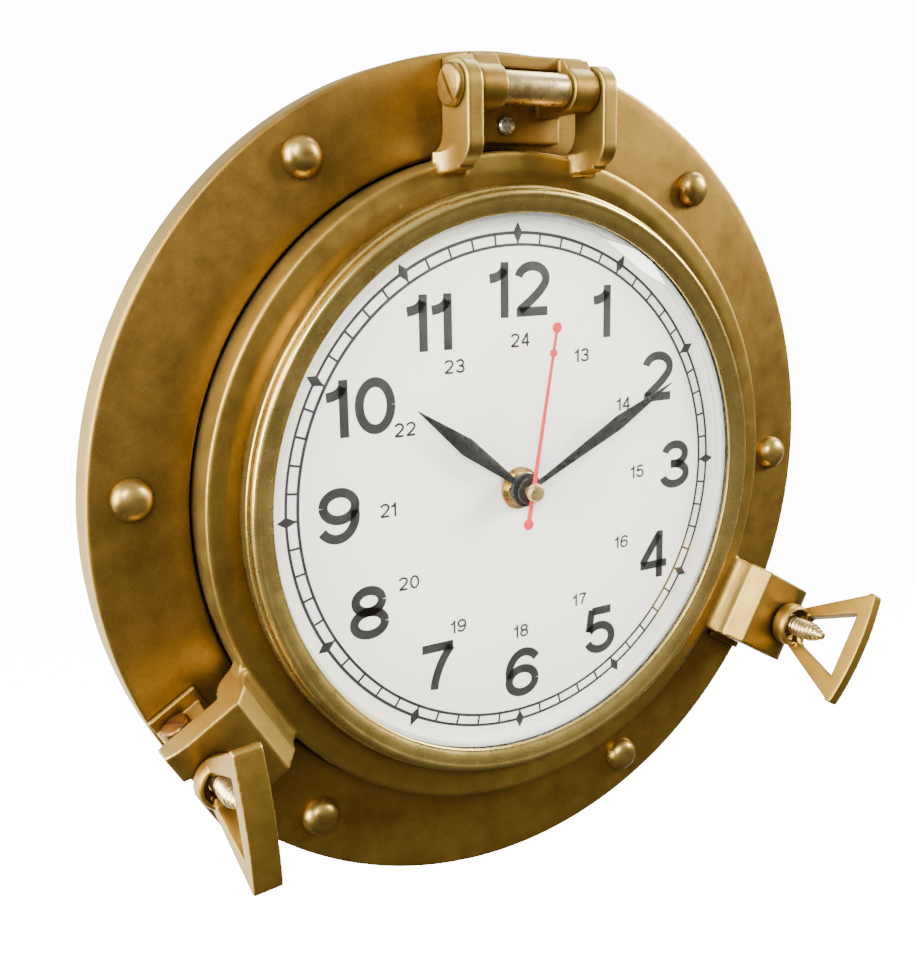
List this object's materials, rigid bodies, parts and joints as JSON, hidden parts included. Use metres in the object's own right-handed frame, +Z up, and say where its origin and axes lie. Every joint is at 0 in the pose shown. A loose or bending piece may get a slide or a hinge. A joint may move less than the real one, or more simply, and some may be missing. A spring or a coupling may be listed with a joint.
{
  "type": "ships deck clock",
  "caption": "Porthole-shaped deck clock: a wall flange with a hinged glazed door ring, swing-bolt clamps with loop nuts, a white dial and a quartz movement.",
  "frame": {"origin": "centre of the flat back of the rear cover, in the plane of the wall", "axes": "+Z up towards the hinge, +X to the viewer's right, -Y out of the wall along the clock's axis"},
  "size_m": [0.3048, 0.076, 0.3048],
  "materials": {
    "cast_bronze": "antique brass finish on a sand-cast, satin-blasted surface",
    "turned_bronze": "antique brass finish on turned heads",
    "brass": "bright turned brass",
    "steel": "zinc-plated steel",
    "cover_paint": "black powder-coated sheet",
    "dial_white": "printed matt white",
    "spacer_grey": "frosted pale grey",
    "hand_black": "semi-gloss black",
    "hand_red": "semi-gloss red",
    "glass": "clear, convex",
    "rubber": "black",
    "black_plastic": "moulded black",
    "nylon": "natural moulded",
    "copper": "enamelled copper winding",
    "board": "green resin board",
    "cell": "plain printed battery sleeve"
  },
  "bodies": {
    "case": {"case_flange": "cast_bronze", "rivet_1": "turned_bronze", "rivet_2": "turned_bronze", "rivet_3": "turned_bronze", "rivet_4": "turned_bronze", "rivet_5": "turned_bronze", "rivet_6": "turned_bronze", "rear_cover": "cover_paint", "rear_cover_screw_1": "steel", "rear_cover_screw_2": "steel", "rear_cover_screw_3": "steel", "rear_cover_screw_4": "steel", "hinge_bracket": "cast_bronze", "hinge_bracket_screw": "steel", "clamp_bracket_left": "cast_bronze", "clamp_bracket_screw_left": "steel", "pivot_screw_left": "turned_bronze", "pivot_nut_left": "turned_bronze", "clamp_bracket_right": "cast_bronze", "clamp_bracket_screw_right": "steel", "pivot_screw_right": "turned_bronze", "pivot_nut_right": "turned_bronze", "dial_plate": "dial_white", "dial_spacer_ring": "spacer_grey", "bush_gasket": "rubber", "bush_washer": "brass", "bush_nut": "brass", "movement_case": "black_plastic", "movement_back": "black_plastic", "battery": "cell", "battery_contact_positive": "steel", "battery_contact_negative": "steel", "circuit_board": "board", "coil": "copper", "stator": "steel", "rotor": "steel", "intermediate_wheel": "nylon"},
    "door": {"door_ring": "cast_bronze", "hinge_pin": "turned_bronze", "hinge_barrel": "brass", "glass_pane": "glass", "glass_gasket": "rubber", "glass_retaining_ring": "steel"},
    "bolt_left": {"swing_bolt_left": "brass"},
    "nut_left": {"loop_nut_left": "cast_bronze"},
    "bolt_right": {"swing_bolt_right": "brass"},
    "nut_right": {"loop_nut_right": "cast_bronze"},
    "hour": {"hour_hand": "hand_black", "hour_wheel": "nylon"},
    "minute": {"minute_hand": "hand_black", "minute_wheel": "nylon"},
    "second": {"second_hand": "hand_red", "second_hand_cap": "brass", "second_wheel": "nylon"},
    "third_wheel": {"third_wheel": "nylon"},
    "motion_wheel": {"motion_wheel": "nylon"},
    "setting_knob": {"setting_knob": "nylon"}
  },
  "joints": [
    {"name": "door_hinge", "type": "hinge", "parent": "case", "child": "door", "pos_m": [0, -0.034, 0.138], "axis": [-1, 0, 0], "range_deg": [0, 105]},
    {"name": "bolt_left_swing", "type": "hinge", "parent": "door", "child": "bolt_left", "pos_m": [-0.12429, -0.022, -0.07468], "axis": [0.515, 0, -0.8572], "range_deg": [0, 85]},
    {"name": "nut_left_spin", "type": "hinge", "parent": "bolt_left", "child": "nut_left", "pos_m": [-0.12429, -0.022, -0.07468], "axis": [0, -1, 0], "continuous": true},
    {"name": "bolt_right_swing", "type": "hinge", "parent": "door", "child": "bolt_right", "pos_m": [0.12557, -0.022, -0.0725], "axis": [0.5, 0, 0.866], "range_deg": [0, 85]},
    {"name": "nut_right_spin", "type": "hinge", "parent": "bolt_right", "child": "nut_right", "pos_m": [0.12557, -0.022, -0.0725], "axis": [0, -1, 0], "continuous": true},
    {"name": "minute_spin", "type": "hinge", "parent": "case", "child": "minute", "pos_m": [0, -0.02, 0], "axis": [0, 1, 0], "continuous": true},
    {"name": "hour_spin", "type": "hinge", "parent": "case", "child": "hour", "pos_m": [0, -0.02, 0], "axis": [0, 1, 0], "continuous": true},
    {"name": "second_spin", "type": "hinge", "parent": "case", "child": "second", "pos_m": [0, -0.02, 0], "axis": [0, 1, 0], "continuous": true},
    {"name": "third_wheel_spin", "type": "hinge", "parent": "case", "child": "third_wheel", "pos_m": [0.008, -0.02, 0.0064], "axis": [0, 1, 0], "continuous": true},
    {"name": "motion_wheel_spin", "type": "hinge", "parent": "case", "child": "motion_wheel", "pos_m": [0.0116, -0.02, -0.0026], "axis": [0, 1, 0], "continuous": true},
    {"name": "setting_knob_spin", "type": "hinge", "parent": "case", "child": "setting_knob", "pos_m": [0.015, -0.02, 0], "axis": [0, 1, 0], "continuous": true}
  ],
  "couplings": [
    {"joint": "hour_spin", "follows": "minute_spin", "ratio": 0.083333},
    {"joint": "second_spin", "follows": "minute_spin", "ratio": 60},
    {"joint": "third_wheel_spin", "follows": "minute_spin", "ratio": -8},
    {"joint": "motion_wheel_spin", "follows": "minute_spin", "ratio": -0.33333},
    {"joint": "setting_knob_spin", "follows": "minute_spin", "ratio": 0.5}
  ]
}
